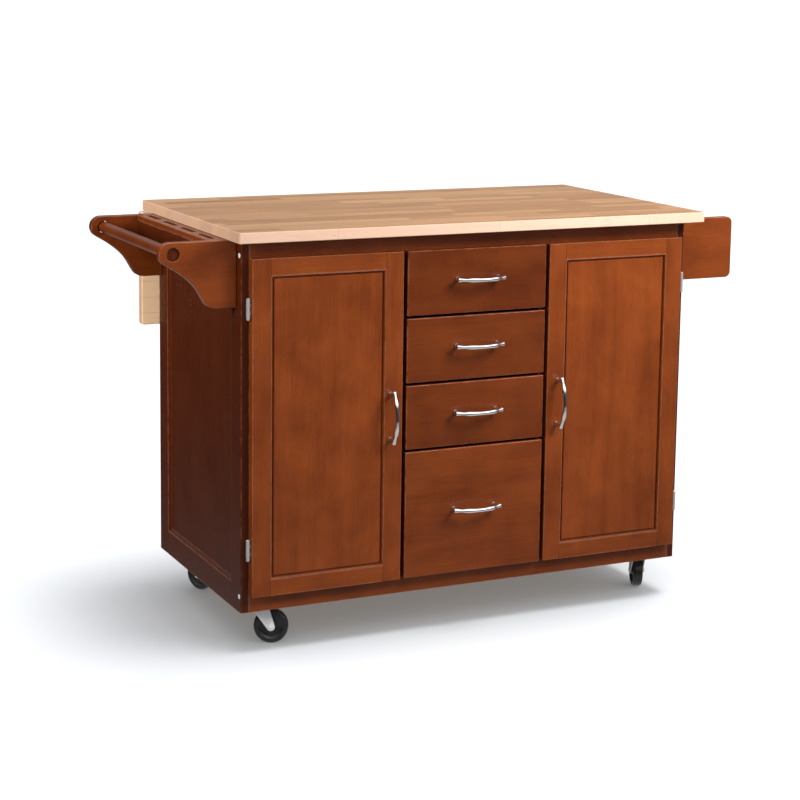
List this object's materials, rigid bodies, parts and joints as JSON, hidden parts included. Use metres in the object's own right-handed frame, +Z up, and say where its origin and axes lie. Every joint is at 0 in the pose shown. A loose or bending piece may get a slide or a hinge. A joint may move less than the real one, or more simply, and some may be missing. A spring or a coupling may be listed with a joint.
{
  "type": "butcher block table",
  "caption": "Wheeled kitchen table with a butcher block top, a rear drop leaf, cupboards and drawers below, a towel rack with knife slots and a spice rack.",
  "frame": {"origin": "on the floor, under the middle of the whole object's box", "axes": "+X to the right along the length, towards the spice rack; +Y to the back, towards the drop leaf; +Z up"},
  "size_m": [1.4236, 0.6916, 0.922],
  "materials": {
    "cherry_wood": "semi-gloss cherry stain under lacquer",
    "butcher_block": "satin oiled finger-jointed hardwood staves",
    "pale_board": "matt sealed pale board",
    "polished_chrome": "polished",
    "zinc_steel": "bright zinc plate",
    "black_rubber": "smooth satin black"
  },
  "bodies": {
    "cabinet": {"side_panel_left": "cherry_wood", "side_panel_right": "cherry_wood", "back_panel": "cherry_wood", "bottom_panel": "pale_board", "top_rail": "cherry_wood", "base_rail": "cherry_wood", "divider_left": "cherry_wood", "divider_right": "cherry_wood", "shelf_left": "pale_board", "shelf_right": "pale_board", "butcher_block_top": "butcher_block", "towel_bracket_front": "cherry_wood", "towel_bracket_rear": "cherry_wood", "towel_bar": "cherry_wood", "knife_strip": "cherry_wood", "knife_guard": "cherry_wood", "spice_end_front": "cherry_wood", "spice_end_rear": "cherry_wood", "spice_shelf": "cherry_wood", "spice_rail": "cherry_wood", "door_hinge_left_lower": "zinc_steel", "door_hinge_left_upper": "zinc_steel", "door_hinge_right_lower": "zinc_steel", "door_hinge_right_upper": "zinc_steel", "leaf_hinge_fixed_left": "zinc_steel", "leaf_hinge_fixed_right": "zinc_steel"},
    "door_left": {"door_frame_left": "cherry_wood", "door_panel_left": "cherry_wood", "door_handle_left": "polished_chrome"},
    "door_right": {"door_frame_right": "cherry_wood", "door_panel_right": "cherry_wood", "door_handle_right": "polished_chrome"},
    "drawer_1": {"drawer_front_1": "cherry_wood", "drawer_box_1": "pale_board", "drawer_handle_1": "polished_chrome"},
    "drawer_2": {"drawer_front_2": "cherry_wood", "drawer_box_2": "pale_board", "drawer_handle_2": "polished_chrome"},
    "drawer_3": {"drawer_front_3": "cherry_wood", "drawer_box_3": "pale_board", "drawer_handle_3": "polished_chrome"},
    "drawer_4": {"drawer_front_4": "cherry_wood", "drawer_box_4": "pale_board", "drawer_handle_4": "polished_chrome"},
    "leaf": {"drop_leaf": "butcher_block", "leaf_hinge_moving_left": "zinc_steel", "leaf_hinge_moving_right": "zinc_steel"},
    "cabinet_stay_left": {"stay_cabinet_link_left": "zinc_steel"},
    "leaf_stay_left": {"stay_leaf_link_left": "zinc_steel"},
    "cabinet_stay_right": {"stay_cabinet_link_right": "zinc_steel"},
    "leaf_stay_right": {"stay_leaf_link_right": "zinc_steel"},
    "caster_front_left": {"caster_fork_front_left": "zinc_steel"},
    "wheel_front_left": {"caster_wheel_front_left": "black_rubber"},
    "caster_front_right": {"caster_fork_front_right": "zinc_steel"},
    "wheel_front_right": {"caster_wheel_front_right": "black_rubber"},
    "caster_rear_left": {"caster_fork_rear_left": "zinc_steel"},
    "wheel_rear_left": {"caster_wheel_rear_left": "black_rubber"},
    "caster_rear_right": {"caster_fork_rear_right": "zinc_steel"},
    "wheel_rear_right": {"caster_wheel_rear_right": "black_rubber"}
  },
  "joints": [
    {"name": "door_left_hinge", "type": "hinge", "parent": "cabinet", "child": "door_left", "pos_m": [-0.52815, -0.2971, 0.492], "axis": [0, 0, -1], "range_deg": [0, 110]},
    {"name": "door_right_hinge", "type": "hinge", "parent": "cabinet", "child": "door_right", "pos_m": [0.54985, -0.2971, 0.492], "axis": [0, 0, 1], "range_deg": [0, 110]},
    {"name": "drawer_1_slide", "type": "slide", "parent": "cabinet", "child": "drawer_1", "axis": [0, -1, 0], "range_m": [0, 0.34]},
    {"name": "drawer_2_slide", "type": "slide", "parent": "cabinet", "child": "drawer_2", "axis": [0, -1, 0], "range_m": [0, 0.34]},
    {"name": "drawer_3_slide", "type": "slide", "parent": "cabinet", "child": "drawer_3", "axis": [0, -1, 0], "range_m": [0, 0.34]},
    {"name": "drawer_4_slide", "type": "slide", "parent": "cabinet", "child": "drawer_4", "axis": [0, -1, 0], "range_m": [0, 0.34]},
    {"name": "leaf_fold", "type": "hinge", "parent": "cabinet", "child": "leaf", "pos_m": [0.01085, 0.3169, 0.893], "axis": [1, 0, 0], "range_deg": [0, 90]},
    {"name": "cabinet_stay_left_pivot", "type": "hinge", "parent": "cabinet", "child": "cabinet_stay_left", "pos_m": [-0.38865, 0.3039, 0.743], "axis": [1, 0, 0], "range_deg": [0, 135]},
    {"name": "leaf_stay_left_pivot", "type": "hinge", "parent": "leaf", "child": "leaf_stay_left", "pos_m": [-0.38515, 0.3039, 0.743], "axis": [-1, 0, 0], "range_deg": [0, 135]},
    {"name": "cabinet_stay_right_pivot", "type": "hinge", "parent": "cabinet", "child": "cabinet_stay_right", "pos_m": [0.41335, 0.3039, 0.743], "axis": [1, 0, 0], "range_deg": [0, 135]},
    {"name": "leaf_stay_right_pivot", "type": "hinge", "parent": "leaf", "child": "leaf_stay_right", "pos_m": [0.40985, 0.3039, 0.743], "axis": [-1, 0, 0], "range_deg": [0, 135]},
    {"name": "caster_front_left_swivel", "type": "hinge", "parent": "cabinet", "child": "caster_front_left", "pos_m": [-0.47815, -0.2301, 0.088], "axis": [0, 0, 1], "continuous": true},
    {"name": "wheel_front_left_spin", "type": "hinge", "parent": "caster_front_left", "child": "wheel_front_left", "pos_m": [-0.45272, -0.24182, 0.038], "axis": [0.4187, 0.9081, 0], "continuous": true},
    {"name": "caster_front_right_swivel", "type": "hinge", "parent": "cabinet", "child": "caster_front_right", "pos_m": [0.49985, -0.2301, 0.088], "axis": [0, 0, 1], "continuous": true},
    {"name": "wheel_front_right_spin", "type": "hinge", "parent": "caster_front_right", "child": "wheel_front_right", "pos_m": [0.51034, -0.20414, 0.038], "axis": [-0.9272, 0.3746, 0], "continuous": true},
    {"name": "caster_rear_left_swivel", "type": "hinge", "parent": "cabinet", "child": "caster_rear_left", "pos_m": [-0.47815, 0.2009, 0.088], "axis": [0, 0, 1], "continuous": true},
    {"name": "wheel_rear_left_spin", "type": "hinge", "parent": "caster_rear_left", "child": "wheel_rear_left", "pos_m": [-0.465, 0.17618, 0.038], "axis": [0.8829, 0.4695, 0], "continuous": true},
    {"name": "caster_rear_right_swivel", "type": "hinge", "parent": "cabinet", "child": "caster_rear_right", "pos_m": [0.49985, 0.2009, 0.088], "axis": [0, 0, 1], "continuous": true},
    {"name": "wheel_rear_right_spin", "type": "hinge", "parent": "caster_rear_right", "child": "wheel_rear_right", "pos_m": [0.52616, 0.21048, 0.038], "axis": [-0.342, 0.9397, 0], "continuous": true}
  ],
  "couplings": [
    {"joint": "cabinet_stay_left_pivot", "follows": "leaf_fold", "ratio": 1.5},
    {"joint": "leaf_stay_left_pivot", "follows": "leaf_fold", "ratio": 1.5},
    {"joint": "cabinet_stay_right_pivot", "follows": "leaf_fold", "ratio": 1.5},
    {"joint": "leaf_stay_right_pivot", "follows": "leaf_fold", "ratio": 1.5}
  ]
}
